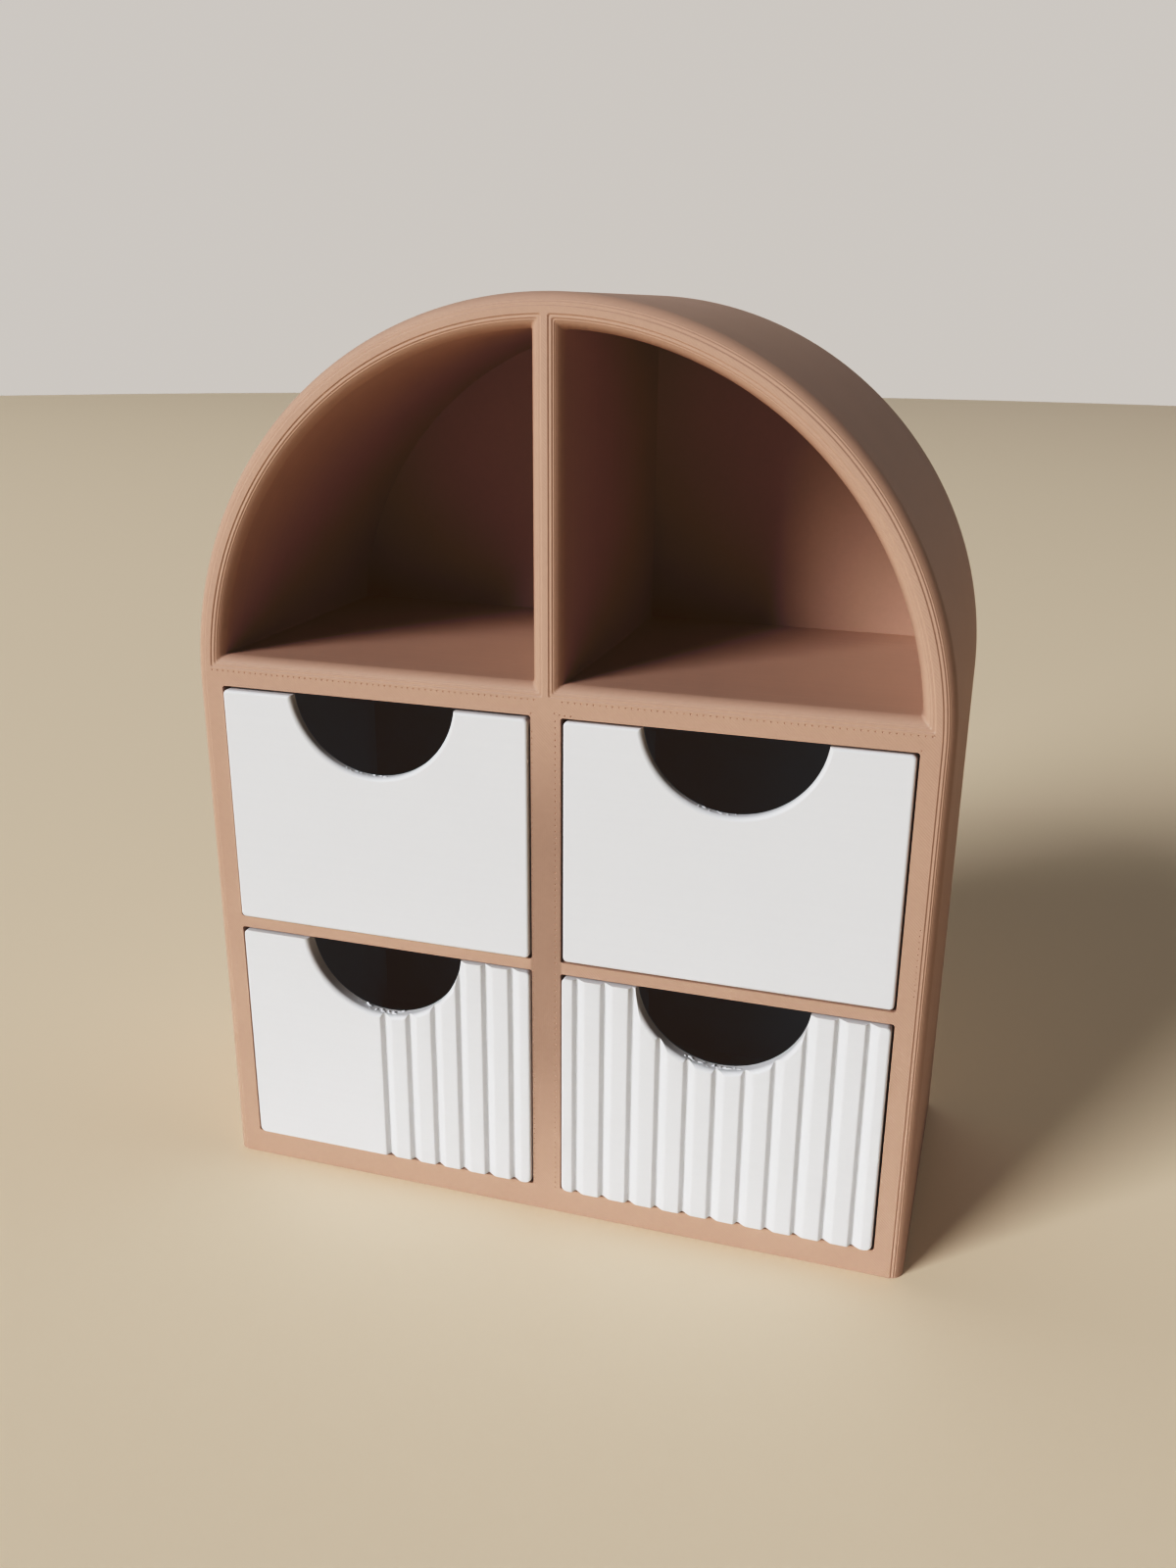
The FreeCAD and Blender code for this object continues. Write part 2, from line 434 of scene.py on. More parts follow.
def layered_plastic(name, base, line_axis, line_pitch, roughness, relief):
    """Matte printed plastic: layer lines on its walls, infill lines on a marked front."""
    material = bpy.data.materials.new(name)
    material.use_nodes = True
    tree = material.node_tree
    tree.nodes.clear()
    output = tree.nodes.new("ShaderNodeOutputMaterial")
    shader = tree.nodes.new("ShaderNodeBsdfPrincipled")
    tree.links.new(shader.outputs[0], output.inputs["Surface"])
    place = tree.nodes.new("ShaderNodeTexCoord").outputs["Object"]
    axes = add_node(tree, "ShaderNodeSeparateXYZ", inputs={0: place})
    front = add_node(tree, "ShaderNodeAttribute", attribute_name="on_front").outputs["Fac"]

    across = axes.outputs[line_axis]
    sizes = settings().carcass
    slant = maths(tree, "ADD", axes.outputs["X"], axes.outputs["Z"])
    infill_wave = line_wave(tree, slant, sizes.infill_pitch)
    upright_wave = line_wave(tree, axes.outputs["X"], sizes.upright_pitch)
    upright_wave = maths(tree, "MULTIPLY", upright_wave, UPRIGHT_RELIEF)
    upright = upright_lines_and_painted_shade(tree, axes, front)
    front_wave = mix(tree, upright, infill_wave, upright_wave)
    lines = mix(tree, front, line_wave(tree, across, line_pitch), front_wave)
    band = add_node(
        tree, "ShaderNodeTexNoise", noise_dimensions="1D",
        inputs={"W": across, "Scale": BAND_SCALE, "Detail": 3.0, "Roughness": 0.7},
    ).outputs[0]
    grain = add_node(
        tree, "ShaderNodeTexNoise",
        inputs={"Vector": place, "Scale": GRAIN_SCALE, "Detail": 3.0, "Roughness": 0.6},
    ).outputs[0]
    cloud = add_node(
        tree, "ShaderNodeTexNoise",
        inputs={"Vector": place, "Scale": CLOUD_SCALE, "Detail": 2.0},
    ).outputs[0]

    swing = TONE_SWING * relief
    tone = maths(tree, "MULTIPLY", centred(tree, band, swing), maths(tree, "SUBTRACT", 1.0, front))
    tone = maths(tree, "ADD", tone, centred(tree, grain, swing))
    tone = maths(tree, "ADD", tone, centred(tree, cloud, swing, 1.0))
    # Painted shade: the narrow wall between the drawers is made darker, most where its lines run fully
    # upright
    tone = maths(tree, "MULTIPLY", tone, maths(tree, "MULTIPLY_ADD", upright, -UPRIGHT_PAINTED_SHADE, 1.0))
    paint = add_node(
        tree, "ShaderNodeMix", data_type="RGBA", blend_type="MULTIPLY", inputs={0: 1.0}
    )
    paint.inputs[6].default_value = (*base, 1.0)
    tree.links.new(tone, paint.inputs[7])
    tree.links.new(paint.outputs[2], shader.inputs["Base Color"])

    height = maths(tree, "ADD", lines, maths(tree, "MULTIPLY", grain, GRAIN_RELIEF))
    bump = add_node(
        tree, "ShaderNodeBump",
        inputs={"Strength": LINE_STRENGTH * relief, "Distance": LINE_HEIGHT, "Height": height},
    )
    tree.links.new(bump.outputs[0], shader.inputs["Normal"])
    rough = centred(tree, grain, ROUGHNESS_SWING, roughness)
    tree.links.new(rough, shader.inputs["Roughness"])
    shader.inputs["Specular IOR Level"].default_value = SHINE
    return material


def plastic(name):
    """The clay or the white plastic, made once."""
    found = bpy.data.materials.get(name)
    if found:
        return found
    colours = settings().finish
    pitch = settings().carcass.layer
    if name == "clay_plastic":
        return layered_plastic(name, colours.clay, "Y", pitch, roughness=0.55, relief=1.0)
    return layered_plastic(name, colours.white, "Z", pitch, roughness=0.5, relief=0.25)


# Carcass

# Single turning marks: X, and height over a line 1 mm above the upper drawers, in millimetres
STRAY_MARKS = (
    (-2.8, 0.0), (1.9, 0.4), (2.9, 0.2), (3.9, 0.1), (5.1, 0.1), (69.2, 0.0), (71.2, 2.9),
)


class CarcassPlan:
    """Outlines of the carcass, worked out from its box, the drawers' boxes and the settings."""

    def __init__(self):
        low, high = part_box("carcass")
        self.sizes = settings().carcass
        self.front_y, self.back_y = low.y, high.y
        self.inner_back_y = high.y - self.sizes.back
        self.outer_radius = (high.x - low.x) / 2
        self.inner_radius = self.outer_radius - self.sizes.wall
        self.spring_z = high.z - self.outer_radius
        self.shelf_z = self.spring_z + self.sizes.shelf
        self.half_rim = self.sizes.wall / 2

    def steps(self):
        """Rounding of the rim as printed: pairs of offset from the edge and depth, from the land out."""
        radius, layer = self.half_rim, self.sizes.layer
        depths = self.sizes.first_slice + layer * np.arange(round(radius / layer))
        offsets = np.append(radius - np.sqrt(2 * radius * depths - depths ** 2), 0.0)
        pairs = []
        for k, (offset, further) in enumerate(zip(offsets, offsets[1:])):
            pairs.append((offset, k * layer))
            if k < self.sizes.shown_steps:
                widest = 0.75 * (offset - further)
                slant = min(self.sizes.bead, widest)
                pairs.append((offset - slant, (k + 1) * layer))
        return pairs + [(0.0, radius)]

    def outline(self, inset):
        """Open outer outline, from the left foot over the arch to the right foot."""
        radius = self.outer_radius - inset
        arch = arc_points(0.0, self.spring_z, radius, 180, 0, self.sizes.arch_steps)
        return np.vstack([[(-radius, 0.0)], arch, [(radius, 0.0)]])

    def mouth(self, side, spread):
        """Closed outline of a cubby's mouth, moved out by spread."""
        radius = self.inner_radius + spread
        inner_x = self.sizes.divider / 2 - spread
        low_z = self.shelf_z - spread
        foot = math.degrees(math.asin((low_z - self.spring_z) / radius))
        head = math.degrees(math.acos(inner_x / radius))
        arch = arc_points(0.0, self.spring_z, radius, foot, head, self.sizes.arch_steps // 2)
        corner = np.array((inner_x, low_z))
        bend = self.sizes.ring_round
        ring = np.vstack([
            fillet(corner, arch[-1], arch[0], bend),
            fillet(arch[0], corner, arch[1], bend),
            arch[1:-1],
            fillet(arch[-1], arch[-2], corner, bend),
        ])
        return ring * (side, 1)

    def bay(self, node):
        """Closed outline of the bay that a drawer runs in."""
        low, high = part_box(node)
        gaps = settings().drawer
        return rounded_rectangle(
            low.x - gaps.side_gap, high.x + gaps.side_gap,
            low.z - gaps.under_gap, high.z + gaps.top_gap, self.sizes.bay_corner, count=4,
        )

    def marks(self):
        """Turning marks of the infill on the front: places and radii, by rows and near the bays' corners."""
        pitch, radius = self.sizes.mark_pitch, self.sizes.mark_radius
        low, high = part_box("drawer_upper_right")
        foot_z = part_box("drawer_lower_right")[0].z
        margin = 1.0 * MM
        beside = self.sizes.divider / 2 - margin
        faint_x = -beside - 0.65 * MM
        stray_z = high.z + margin
        shelf_z = self.shelf_z - self.half_rim
        stile_x = self.outer_radius - self.half_rim
        full, bold, faint, stray = 1.0, 0.85, 0.6, 0.9

        def along(start, end):
            return np.arange(start, end, pitch)

        rows = [(x, shelf_z, full) for x in along(-stile_x + margin, -0.8 * beside)]
        rows += [(x, shelf_z, full) for x in along(1.7 * beside, stile_x - margin)]
        rows += [(beside, z, bold) for z in along(foot_z, high.z)]
        rows += [(faint_x, z, faint) for z in along(foot_z, high.z - 2 * pitch)]
        rows += [(stile_x, z, faint) for z in along(low.z + 3 * pitch, low.z + 15 * pitch)]
        rows += [(x * MM, stray_z + z * MM, stray) for x, z in STRAY_MARKS]
        spread = np.random.default_rng(4).uniform(0.75, 1.15, len(rows))
        return [(x, z, radius * size * s) for (x, z, size), s in zip(rows, spread)]

    def mark_ring(self, mark):
        """Closed outline of one mark's hole."""
        return arc_points(*mark, 0, 360, MARK_SIDES)[:-1]


def build_carcass():
    """Carcass with its stepped rim, mitred cubby mouths, bays and holes for the turning marks' pits."""
    plan = CarcassPlan()
    surface = Surface()
    steps = plan.steps()
    front = plan.front_y

    outer = [surface.row(plan.outline(inset), front + depth) for inset, depth in steps]
    outer.append(surface.row(plan.outline(0.0), plan.back_y))
    surface.tube(outer, False)
    surface.cap(outer[-1])
    foot = [row[0] for row in outer] + [row[-1] for row in reversed(outer)]
    surface.cap(foot)

    holes = []
    for side in (-1, 1):
        rows = [surface.row(plan.mouth(side, spread), front + depth) for spread, depth in steps]
        rows.append(surface.row(plan.mouth(side, 0.0), plan.inner_back_y))
        surface.tube(rows, True)
        surface.cap(rows[-1])
        holes.append(plan.mouth(side, steps[0][0]))
    for node in DRAWERS:
        ring = plan.bay(node)
        rows = [surface.row(ring, front), surface.row(ring, plan.inner_back_y)]
        surface.tube(rows, True)
        surface.cap(rows[-1])
        holes.append(ring)
    holes += [plan.mark_ring(mark) for mark in plan.marks()]
    surface.flat([plan.outline(steps[0][0]), *holes], front)

    obj = new_object("organizer_carcass", surface.mesh("organizer_carcass"))
    smooth_curves(obj, degrees=25)
    place_piece(obj, "carcass", plastic("clay_plastic"), "carcass")


def mark_tree(material):
    """Tree that sets one small pit on each point, as wide as the point's own radius."""
    tree, given = geometry_tree("Turning marks", [("Depth", "NodeSocketFloat")])
    pit = add_node(
        tree, "GeometryNodeMeshCone", fill_type="NONE",
        inputs={"Vertices": MARK_SIDES, "Radius Top": 0.0, "Radius Bottom": 1.0, "Depth": 1.0},
    )
    radius = add_node(
        tree, "GeometryNodeInputNamedAttribute", data_type="FLOAT", inputs={"Name": "mark_radius"}
    ).outputs[0]
    scale = add_node(tree, "ShaderNodeCombineXYZ", inputs={"X": radius, "Y": radius, "Z": given["Depth"]})
    pits = add_node(
        tree, "GeometryNodeInstanceOnPoints",
        inputs={
            "Points": given["Geometry"], "Instance": pit.outputs["Mesh"],
            "Rotation": (-math.pi / 2, 0, 0), "Scale": scale.outputs[0],
        },
    )
    facing = add_node(tree, "GeometryNodeFlipFaces", inputs={0: pits.outputs[0]})
    close_tree(tree, facing.outputs[0], material)
    return tree


def build_marks():
    """Pits that close the holes in the carcass's front, one for each turning mark."""
    plan = CarcassPlan()
    marks = plan.marks()
    mesh = bpy.data.meshes.new("turning_marks")
    mesh.from_pydata([(x, plan.front_y, z) for x, z, radius in marks], [], [])
    radii = mesh.attributes.new("mark_radius", "FLOAT", "POINT")
    radii.data.foreach_set("value", [radius for x, z, radius in marks])
    obj = new_object("turning_marks", mesh)
    material = plastic("clay_plastic")
    run_tree(obj, mark_tree(material), {"Depth": plan.sizes.mark_depth})
    place_piece(obj, "carcass", material)


# Drawers

def turned(name, profile, centre_x, centre_z, count):
    """Closed solid turned about an axis along Y, from pairs of radius and depth."""
    points, faces = [], []
    ends = [(centre_x, profile[0][1], centre_z), (centre_x, profile[-1][1], centre_z)]
    for radius, y in profile:
        ring = arc_points(centre_x, centre_z, radius, 0, 360, count)[:-1]
        points += [(x, y, z) for x, z in ring]
    for k in range(len(profile) - 1):
        for i in range(count):
            j = (i + 1) % count
            faces.append((k * count + i, k * count + j, (k + 1) * count + j, (k + 1) * count + i))
    points += ends
    last = (len(profile) - 1) * count
    for i in range(count):
        j = (i + 1) % count
        faces.append((len(points) - 2, j, i))
        faces.append((len(points) - 1, last + i, last + j))
    return mesh_of(name, points, faces)


def box_mesh(name, x0, x1, y0, y1, z0, z1):
    """Closed box between two corners."""
    points = [(x, y, z) for x in (x0, x1) for y in (y0, y1) for z in (z0, z1)]
    faces = [(0, 1, 3, 2), (4, 6, 7, 5), (0, 4, 5, 1), (2, 3, 7, 6), (0, 2, 6, 4), (1, 5, 7, 3)]
    return mesh_of(name, points, faces)


def drawer_block(node, rounded):
    """Solid block of a drawer, with its front edges rounded where asked."""
    low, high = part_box(node)
    sizes = settings().drawer
    surface = Surface()
    rows = []
    for turn in np.linspace(math.pi / 2, 0, num=7):
        inset = sizes.edge * (1 - math.cos(turn))
        rise = inset if rounded else 0.0
        ring = rounded_rectangle(
            low.x + inset, high.x - inset, low.z + rise, high.z - rise, sizes.corner - rise, count=8
        )
        rows.append(surface.row(ring, low.y + sizes.edge * (1 - math.sin(turn))))
    rows.append(surface.row(ring, high.y))
    surface.tube(rows, True)
    surface.cap(rows[0])
    surface.cap(rows[-1])
    return surface.mesh(node + "_block")


# Columns of points across one groove: round its brink, on its floor and round its slope
BRINK_COLUMNS = 4
FLOOR_COLUMNS = 2
SLOPE_COLUMNS = 5
GROOVE_COLUMNS = BRINK_COLUMNS + FLOOR_COLUMNS + SLOPE_COLUMNS


def reed_tree(material):
    """Tree that makes an upright prism whose front has grooves with a steep and a sloped side."""
    lengths = (
        "Width", "Depth", "Height", "Pitch", "First groove", "Groove depth",
        "Steep run", "Groove floor", "Slope run", "Slope round", "Brink round",
    )
    tree, given = geometry_tree(
        "Reeded front",
        [(label, "NodeSocketFloat") for label in lengths]
        + [("Columns", "NodeSocketInt"), ("Place", "NodeSocketVector")],
    )
    width, deep = given["Width"], given["Groove depth"]

    def rounding(radius, turn):
        across = maths(tree, "MULTIPLY", radius, maths(tree, "SINE", turn))
        back = maths(tree, "MULTIPLY", radius, maths(tree, "SUBTRACT", 1.0, maths(tree, "COSINE", turn)))
        return across, back

    def tangent(radius, angle):
        return maths(tree, "MULTIPLY", radius, maths(tree, "TANGENT", maths(tree, "MULTIPLY", angle, 0.5)))

    grid = add_node(
        tree, "GeometryNodeMeshGrid",
        inputs={"Size X": width, "Size Y": 1.0, "Vertices X": given["Columns"], "Vertices Y": 2},
    )
    place = add_node(
        tree, "ShaderNodeSeparateXYZ", inputs={0: tree.nodes.new("GeometryNodeInputPosition").outputs[0]}
    )
    share = maths(tree, "ADD", maths(tree, "DIVIDE", place.outputs["X"], width), 0.5)
    last = maths(tree, "SUBTRACT", given["Columns"], 1.0)
    inner = maths(tree, "SUBTRACT", maths(tree, "ROUND", maths(tree, "MULTIPLY", share, last)), 1.0)

    # The groove that a column belongs to, and its step in that groove
    number = maths(tree, "FLOOR", maths(tree, "DIVIDE", inner, GROOVE_COLUMNS))
    step = maths(tree, "SUBTRACT", inner, maths(tree, "MULTIPLY", number, GROOVE_COLUMNS))
    start = maths(tree, "MULTIPLY_ADD", number, given["Pitch"], given["First groove"])
    steep = maths(tree, "ARCTAN2", deep, given["Steep run"])
    brink_x, brink_y = rounding(
        given["Brink round"], maths(tree, "MULTIPLY", steep, maths(tree, "DIVIDE", step, BRINK_COLUMNS - 1))
    )
    brink_x = maths(tree, "SUBTRACT", brink_x, tangent(given["Brink round"], steep))
    floor_start = given["Steep run"]
    floor_end = maths(tree, "ADD", floor_start, given["Groove floor"])
    slope = maths(tree, "ARCTAN2", deep, given["Slope run"])
    left = maths(tree, "DIVIDE", maths(tree, "SUBTRACT", GROOVE_COLUMNS - 1, step), SLOPE_COLUMNS - 1)
    slope_x, slope_y = rounding(given["Slope round"], maths(tree, "MULTIPLY", slope, left))
    flat = maths(tree, "ADD", floor_end, given["Slope run"])
    flat = maths(tree, "ADD", flat, tangent(given["Slope round"], slope))
    slope_x = maths(tree, "SUBTRACT", flat, slope_x)
    past_brink = maths(tree, "GREATER_THAN", step, BRINK_COLUMNS - 0.5)
    past_start = maths(tree, "GREATER_THAN", step, BRINK_COLUMNS + 0.5)
    past_floor = maths(tree, "GREATER_THAN", step, BRINK_COLUMNS + FLOOR_COLUMNS - 0.5)
    x = mix(tree, past_start, mix(tree, past_brink, brink_x, floor_start), floor_end)
    x = maths(tree, "ADD", start, mix(tree, past_floor, x, slope_x))
    front_y = mix(tree, past_floor, mix(tree, past_brink, brink_y, deep), slope_y)

    # The first and the last column are the front's own edges
    nearly_half = 0.4999
    from_middle = maths(tree, "ABSOLUTE", maths(tree, "SUBTRACT", share, 0.5))
    at_end = maths(tree, "GREATER_THAN", from_middle, nearly_half)
    x = mix(tree, at_end, x, maths(tree, "MULTIPLY", share, width))
    front_y = mix(tree, at_end, front_y, 0.0)
    y = mix(tree, maths(tree, "GREATER_THAN", place.outputs["Y"], 0.0), front_y, given["Depth"])
    moved = add_node(
        tree, "GeometryNodeSetPosition",
        inputs={
            "Geometry": grid.outputs["Mesh"],
            "Position": add_node(tree, "ShaderNodeCombineXYZ", inputs={"X": x, "Y": y}).outputs[0],
        },
    ).outputs[0]
    raised = add_node(
        tree, "GeometryNodeExtrudeMesh",
        inputs={
            "Mesh": moved,
            "Offset": add_node(tree, "ShaderNodeCombineXYZ", inputs={"Z": given["Height"]}).outputs[0],
            "Offset Scale": 1.0, "Individual": False,
        },
    ).outputs[0]
    under = add_node(tree, "GeometryNodeFlipFaces", inputs={0: moved}).outputs[0]
    joined = tree.nodes.new("GeometryNodeJoinGeometry")
    tree.links.new(raised, joined.inputs[0])
    tree.links.new(under, joined.inputs[0])
    closed = add_node(
        tree, "GeometryNodeMergeByDistance", inputs={"Geometry": joined.outputs[0], "Distance": MERGE}
    )
    placed = add_node(
        tree, "GeometryNodeTransform", inputs={"Geometry": closed.outputs[0], "Translation": given["Place"]}
    )
    close_tree(tree, placed.outputs[0], material)
    return tree


def reeded_prism(node, tree):
    """Upright prism with the grooves of one front."""
    low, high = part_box(node)
    sizes = settings().drawer
    skipped = sizes.skipped_grooves if node == "drawer_lower_left" else 0
    width = high.x - low.x
    first = sizes.first_groove + skipped * sizes.reed_pitch
    slope = math.atan2(sizes.groove_depth, sizes.slope_run)
    groove = sizes.steep_run + sizes.groove_floor + sizes.slope_run + sizes.slope_round * math.tan(slope / 2)
    grooves = 1 + int((width - sizes.edge - first - groove) / sizes.reed_pitch)
    obj = new_object(node + "_reeds", bpy.data.meshes.new(node + "_reeds"))
    run_tree(obj, tree, {
        "Width": width,
        "Depth": high.y - low.y + OVERRUN,
        "Height": high.z - low.z + 2 * OVERRUN,
        "Pitch": sizes.reed_pitch,
        "First groove": first,
        "Groove depth": sizes.groove_depth,
        "Steep run": sizes.steep_run,
        "Groove floor": sizes.groove_floor,
        "Slope run": sizes.slope_run,
        "Slope round": sizes.slope_round,
        "Brink round": sizes.brink_round,
        "Columns": GROOVE_COLUMNS * grooves + 2,
        "Place": (low.x, low.y, low.z - OVERRUN),
    })
    return obj


def front_thickness(node):
    """Thickness of a drawer's front."""
    sizes = settings().drawer
    return sizes.reeded_front if node in REEDED else sizes.plain_front


def notch_cutter(node):
    """Turned cutter for the finger notch, with a flare that rounds the front edge."""
    low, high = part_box(node)
    sizes = settings().drawer
    radius, bend = sizes.notch_radius, sizes.notch_round
    face = low.y - HAIR
    flare = [
        (radius + bend * (1 - math.sin(t)), face + bend * (1 - math.cos(t)))
        for t in np.linspace(0, math.pi / 2, num=11)
    ]
    profile = [(radius + bend, face - OVERRUN), *flare, (radius, face + front_thickness(node) + OVERRUN)]
    centre_z = high.z - sizes.notch_depth + radius
    mesh = turned(node + "_notch", profile, (low.x + high.x) / 2, centre_z, count=192)
    return new_object(node + "_notch", mesh)


def tray_hollow(node):
    """Block that hollows out the tray, open at its top."""
    low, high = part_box(node)
    sizes = settings().drawer
    mesh = box_mesh(
        node + "_hollow", low.x + sizes.tray_wall, high.x - sizes.tray_wall,
        low.y + front_thickness(node), high.y - sizes.tray_wall, low.z + sizes.tray_floor, high.z + OVERRUN,
    )
    return new_object(node + "_hollow", mesh)


def cut(obj, tool, operation):
    """Boolean with a tool, left as a modifier until the piece is made plain."""
    boolean = obj.modifiers.new(tool.name, "BOOLEAN")
    boolean.solver = "EXACT"
    boolean.operation = operation
    boolean.object = tool


def build_drawers():
    """Four drawers: tray and front in one piece, two of them reeded, all with a finger notch."""
    material = plastic("white_plastic")
    tree = reed_tree(material)
    for node in DRAWERS:
        obj = new_object(node.replace("drawer", "tray_and_front"), drawer_block(node, node not in REEDED))
        tools = []
        if node in REEDED:
            tools.append(reeded_prism(node, tree))
            cut(obj, tools[-1], "INTERSECT")
        for tool in (tray_hollow(node), notch_cutter(node)):
            tools.append(tool)
            cut(obj, tool, "DIFFERENCE")
        make_plain(obj)
        for tool in tools:
            bpy.data.objects.remove(tool)
        if not obj.data.polygons:
            raise RuntimeError(node + " has no faces left after its cuts")
        smooth_curves(obj, degrees=30)
        place_piece(obj, node, material, node)


def burr_tree(material):
    """Tree that scatters small lumps along the bottom of a notch, where its print sagged."""
    tree, given = geometry_tree("Notch burrs", [
        ("Centre", "NodeSocketVector"), ("Radius", "NodeSocketFloat"), ("Size", "NodeSocketFloat"),
        ("Count", "NodeSocketInt"), ("Seed", "NodeSocketInt"),
    ])

    def scaled(vector, size):
        return add_node(
            tree, "ShaderNodeVectorMath", operation="SCALE", inputs={0: vector, "Scale": size}
        ).outputs[0]

    def spread(low, high, turn):
        """Random vector between two, in sizes of the largest burr."""
        seed = maths(tree, "ADD", given["Seed"], turn)
        between = add_node(
            tree, "FunctionNodeRandomValue", data_type="FLOAT_VECTOR",
            inputs={0: low, 1: high, "Seed": seed},
        )
        return scaled(between.outputs[0], given["Size"])

    start, sweep = math.radians(248), math.radians(34)
    arc = add_node(
        tree, "GeometryNodeCurveArc",
        inputs={"Radius": given["Radius"], "Start Angle": start, "Sweep Angle": sweep},
    )
    places = add_node(
        tree, "GeometryNodeCurveToPoints", inputs={"Curve": arc.outputs[0], "Count": given["Count"]}
    )
    moved = add_node(
        tree, "GeometryNodeSetPosition",
        inputs={
            "Geometry": places.outputs["Points"],
            "Offset": spread((-2.0, -0.2, -2.0), (2.0, 0.5, 2.0), 1),
        },
    )
    lump = add_node(tree, "GeometryNodeMeshIcoSphere", inputs={"Radius": 1.0, "Subdivisions": 2})
    lumps = add_node(
        tree, "GeometryNodeInstanceOnPoints",
        inputs={
            "Points": moved.outputs[0], "Instance": lump.outputs[0],
            "Rotation": places.outputs["Rotation"],
            "Scale": spread((0.3, 0.3, 0.6), (0.9, 0.9, 2.2), 2),
        },
    )
    real = add_node(tree, "GeometryNodeRealizeInstances", inputs={0: lumps.outputs[0]})
    raggedness, lump_scale = 2.5, 2200.0
    rough = add_node(tree, "ShaderNodeTexNoise", inputs={"Scale": lump_scale, "Detail": 2.0})
    swell = add_node(
        tree, "ShaderNodeVectorMath", operation="SUBTRACT",
        inputs={0: rough.outputs["Color"], 1: (0.5, 0.5, 0.5)},
    ).outputs[0]
    swell = scaled(swell, maths(tree, "MULTIPLY", given["Size"], raggedness))
    ragged = add_node(
        tree, "GeometryNodeSetPosition", inputs={"Geometry": real.outputs[0], "Offset": swell}
    )
    smooth = add_node(tree, "GeometryNodeSetShadeSmooth", inputs={0: ragged.outputs[0]})
    upright = add_node(
        tree, "GeometryNodeTransform",
        inputs={
            "Geometry": smooth.outputs[0], "Rotation": (math.pi / 2, 0, 0),
            "Translation": given["Centre"],
        },
    )
    close_tree(tree, upright.outputs[0], material)
    return tree


def build_burrs():
    """Print burrs under the four notches, more of them on the reeded fronts."""
    sizes = settings().drawer
    material = plastic("white_plastic")
    tree = burr_tree(material)
    seat, plain_share, seed_step = 0.6, 0.7, 11
    for number, node in enumerate(DRAWERS):
        low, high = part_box(node)
        name = node.replace("drawer", "notch_burrs")
        obj = new_object(name, bpy.data.meshes.new(name))
        run_tree(obj, tree, {
            "Centre": (
                (low.x + high.x) / 2, low.y + seat * front_thickness(node),
                high.z - sizes.notch_depth + sizes.notch_radius,
            ),
            "Radius": sizes.notch_radius,
            "Size": sizes.burr if node in REEDED else plain_share * sizes.burr,
            "Count": sizes.burrs if node in REEDED else sizes.burrs // 2,
            "Seed": seed_step * number,
        })
        place_piece(obj, node, material)


# Stage

# Warm dark tones for red, green and blue, then the contrast of all three, in linear light
TONES = (
    ((0.012, 0.022), (0.02, 0.026), (0.035, 0.033), (0.08, 0.078), (0.15, 0.15), (1.0, 1.0)),
    ((0.012, 0.0105), (0.02, 0.014), (0.035, 0.027), (0.06, 0.057), (0.1, 0.1), (1.0, 1.0)),
    ((0.012, 0.0085), (0.02, 0.0105), (0.03, 0.021), (0.05, 0.046), (0.1, 0.1), (1.0, 1.0)),
    (
        (0.02, 0.013), (0.05, 0.021), (0.12, 0.065), (0.2, 0.145), (0.3, 0.265), (0.45, 0.45),
        (0.6, 0.605), (0.8, 0.76), (1.0, 0.87),
    ),
)


def add_light(name, size, energy, tint, aim, away):
    """Soft rectangular light, turned to the point that it lights and hidden from the camera."""
    light = bpy.data.lights.new(name, "AREA")
    light.shape = "RECTANGLE"
    light.size, light.size_y = size
    light.energy = energy
    light.color = tint
    lamp = new_object(name, light)
    lamp.location = aim + away
    lamp.rotation_euler = away.to_track_quat("Z", "Y").to_euler()
    lamp.visible_camera = False
    return lamp


def build_floor():
    """Wide plain disc just under the carcass's foot."""
    radius, drop = 3.0, 0.05 * MM
    ring = arc_points(0.0, 0.0, radius, 0, 360, count=96)[:-1]
    mesh = bpy.data.meshes.new("floor")
    mesh.from_pydata([(x, y, -drop) for x, y in ring], [], [tuple(range(len(ring)))])
    floor = new_object("floor", mesh)
    paper = bpy.data.materials.new("floor_paper")
    paper.use_nodes = True
    shader = paper.node_tree.nodes["Principled BSDF"]
    shader.inputs["Base Color"].default_value = (*settings().finish.floor, 1.0)
    shader.inputs["Roughness"].default_value = 0.6
    floor.data.materials.append(paper)
    return floor


def build_room():
    """Weak warm light from all round, most of it from behind, and an even pale backdrop."""
    world = bpy.data.worlds.new("room")
    world.use_nodes = True
    tree = world.node_tree
    background = tree.nodes["Background"]
    background.inputs["Color"].default_value = (1.0, 0.97, 0.93, 1.0)
    way = add_node(
        tree, "ShaderNodeSeparateXYZ", inputs={0: tree.nodes.new("ShaderNodeTexCoord").outputs["Generated"]}
    )
    glow = add_node(
        tree, "ShaderNodeMapRange", interpolation_type="SMOOTHSTEP",
        inputs={
            "Value": way.outputs["Y"], "From Min": -0.35, "From Max": 0.9,
            "To Min": 0.01, "To Max": 0.53,
        },
    )
    tree.links.new(glow.outputs[0], background.inputs["Strength"])

    # What the camera sees behind the floor is the same pale grey all round
    backdrop = add_node(tree, "ShaderNodeBackground", inputs={"Color": (0.60, 0.565, 0.53, 1.0)})
    seen = tree.nodes.new("ShaderNodeLightPath").outputs["Is Camera Ray"]
    either = add_node(
        tree, "ShaderNodeMixShader", inputs={0: seen, 1: background.outputs[0], 2: backdrop.outputs[0]}
    )
    tree.links.new(either.outputs[0], tree.nodes["World Output"].inputs["Surface"])
    bpy.context.scene.world = world


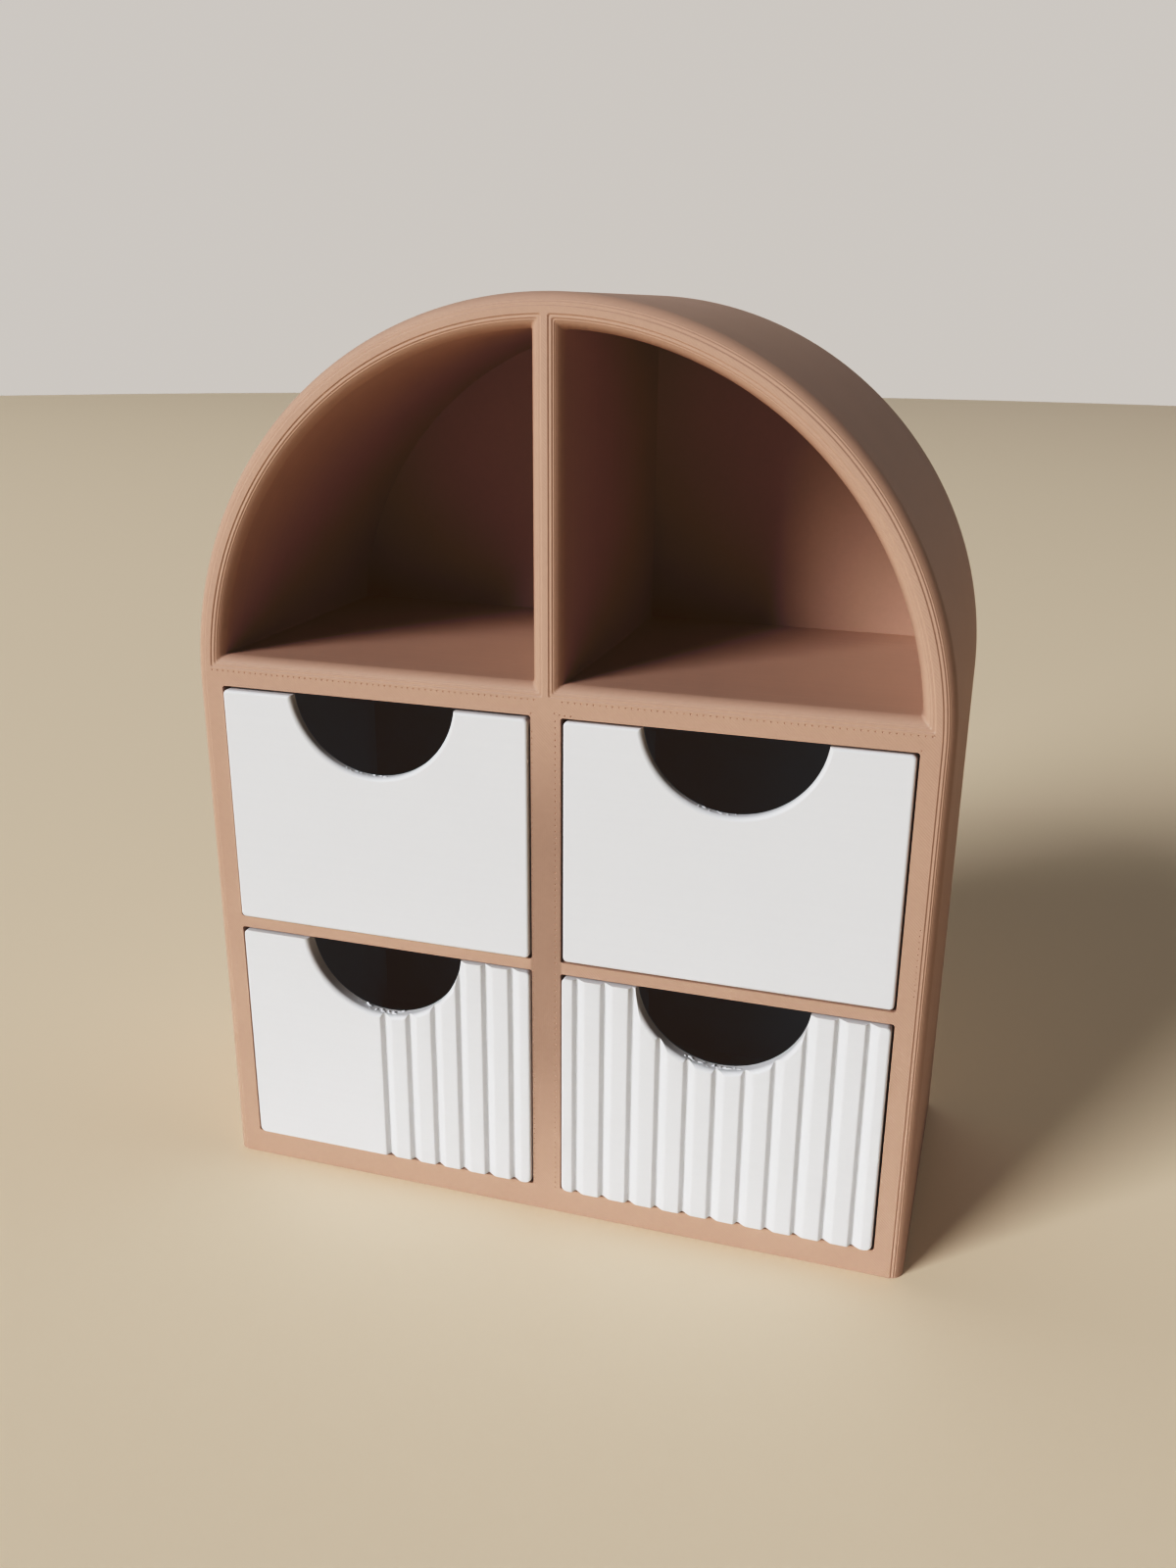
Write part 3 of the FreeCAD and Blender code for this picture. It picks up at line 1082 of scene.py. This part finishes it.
def build_lights(floor):
    """Large far window at the front left, and a weak low strip that lifts the lower fronts."""
    away = Vector((-0.511, -0.730, 0.454)) * 10.0
    add_light("window", (3.8, 4.4), 905.0, (0.98, 1.0, 1.025), Vector((0.0, 0.0, 0.09)), away)
    aim, away = Vector((0.0, -0.03, 0.0)), Vector((0.13, -0.5, 0.01))
    low = add_light("low_fill", (0.35, 0.03), 0.011, (0.96, 1.0, 1.06), aim, away)
    low.data.spread = math.radians(18)

    # Kept off the floor, where the strip would leave a bright patch with a hard edge
    unlit = bpy.data.collections.new("not_lit_by_low_fill")
    unlit.objects.link(floor)
    unlit.collection_objects[0].light_linking.link_state = "EXCLUDE"
    low.light_linking.receiver_collection = unlit


def build_camera():
    """Camera at the photographed angle, from its place and its directions to the right, down and ahead."""
    place = (0.08197, -0.26778, 0.182)
    right = Vector((0.95413, 0.29926, 0.0085))
    down = Vector((0.10904, -0.32094, -0.9408))
    ahead = Vector((-0.27882, 0.89858, -0.33885))
    camera = bpy.data.cameras.new("camera")
    camera.sensor_fit = "AUTO"
    camera.sensor_width = 36.0
    camera.lens = 31.464
    camera.shift_x, camera.shift_y = -0.0028, 0.0120
    camera.clip_start, camera.clip_end = 0.01, 20.0
    viewer = new_object("camera", camera)
    turn = Matrix((right, -down, -ahead)).transposed()
    viewer.matrix_world = Matrix.Translation(place) @ turn.to_4x4()
    bpy.context.scene.camera = viewer


def grade_tones():
    """Warm, deep dark tones and soft highlights in the picture."""
    view = bpy.context.scene.view_settings
    view.view_transform = "Standard"
    view.use_curve_mapping = True
    grade = view.curve_mapping
    for curve, tones in zip(grade.curves, TONES):
        for tone in tones[:-1]:
            curve.points.new(*tone)
        curve.points[-1].location = tones[-1]
    for curve in grade.curves[:3]:
        for point in curve.points:
            point.handle_type = "VECTOR"
    grade.update()


def build_stage():
    """Pale floor, soft light from the front left and a camera at the photographed angle."""
    floor = build_floor()
    build_room()
    build_lights(floor)
    build_camera()
    grade_tones()


# Operators and panel

class ORGANIZER_OT_carcass(bpy.types.Operator):
    """Build the carcass with its cubbies and bays"""

    bl_idname = "organizer.carcass"
    bl_label = "Carcass"

    def execute(self, context):
        build_carcass()
        return {"FINISHED"}


class ORGANIZER_OT_marks(bpy.types.Operator):
    """Set the turning marks of the infill into the carcass's front"""

    bl_idname = "organizer.marks"
    bl_label = "Turning marks"

    def execute(self, context):
        build_marks()
        return {"FINISHED"}


class ORGANIZER_OT_drawers(bpy.types.Operator):
    """Build the four drawers"""

    bl_idname = "organizer.drawers"
    bl_label = "Drawers"

    def execute(self, context):
        build_drawers()
        return {"FINISHED"}


class ORGANIZER_OT_burrs(bpy.types.Operator):
    """Scatter print burrs along the bottoms of the notches"""

    bl_idname = "organizer.burrs"
    bl_label = "Notch burrs"

    def execute(self, context):
        build_burrs()
        return {"FINISHED"}


class ORGANIZER_OT_stage(bpy.types.Operator):
    """Set up the floor, the light and the camera"""

    bl_idname = "organizer.stage"
    bl_label = "Stage"

    def execute(self, context):
        build_stage()
        return {"FINISHED"}


OPERATORS = (
    ORGANIZER_OT_carcass, ORGANIZER_OT_marks, ORGANIZER_OT_drawers, ORGANIZER_OT_burrs, ORGANIZER_OT_stage,
)


class ORGANIZER_PT_panel(bpy.types.Panel):
    """Lists the steps that build the organizer"""

    bl_idname = "ORGANIZER_PT_panel"
    bl_label = "Organizer"
    bl_space_type = "VIEW_3D"
    bl_region_type = "UI"
    bl_category = "Organizer"

    def draw(self, context):
        for operator in OPERATORS:
            self.layout.operator(operator.bl_idname)


CLASSES = (CarcassSizes, DrawerSizes, FinishColours, OrganizerSettings, *OPERATORS, ORGANIZER_PT_panel)


def register():
    for cls in CLASSES:
        bpy.utils.register_class(cls)
    bpy.types.Scene.organizer = PointerProperty(type=OrganizerSettings)


def unregister():
    del bpy.types.Scene.organizer
    for cls in reversed(CLASSES):
        bpy.utils.unregister_class(cls)


def main():
    register()
    bpy.ops.organizer.carcass()
    bpy.ops.organizer.marks()
    bpy.ops.organizer.drawers()
    bpy.ops.organizer.burrs()
    bpy.ops.organizer.stage()


if __name__ == "__main__":
    main()
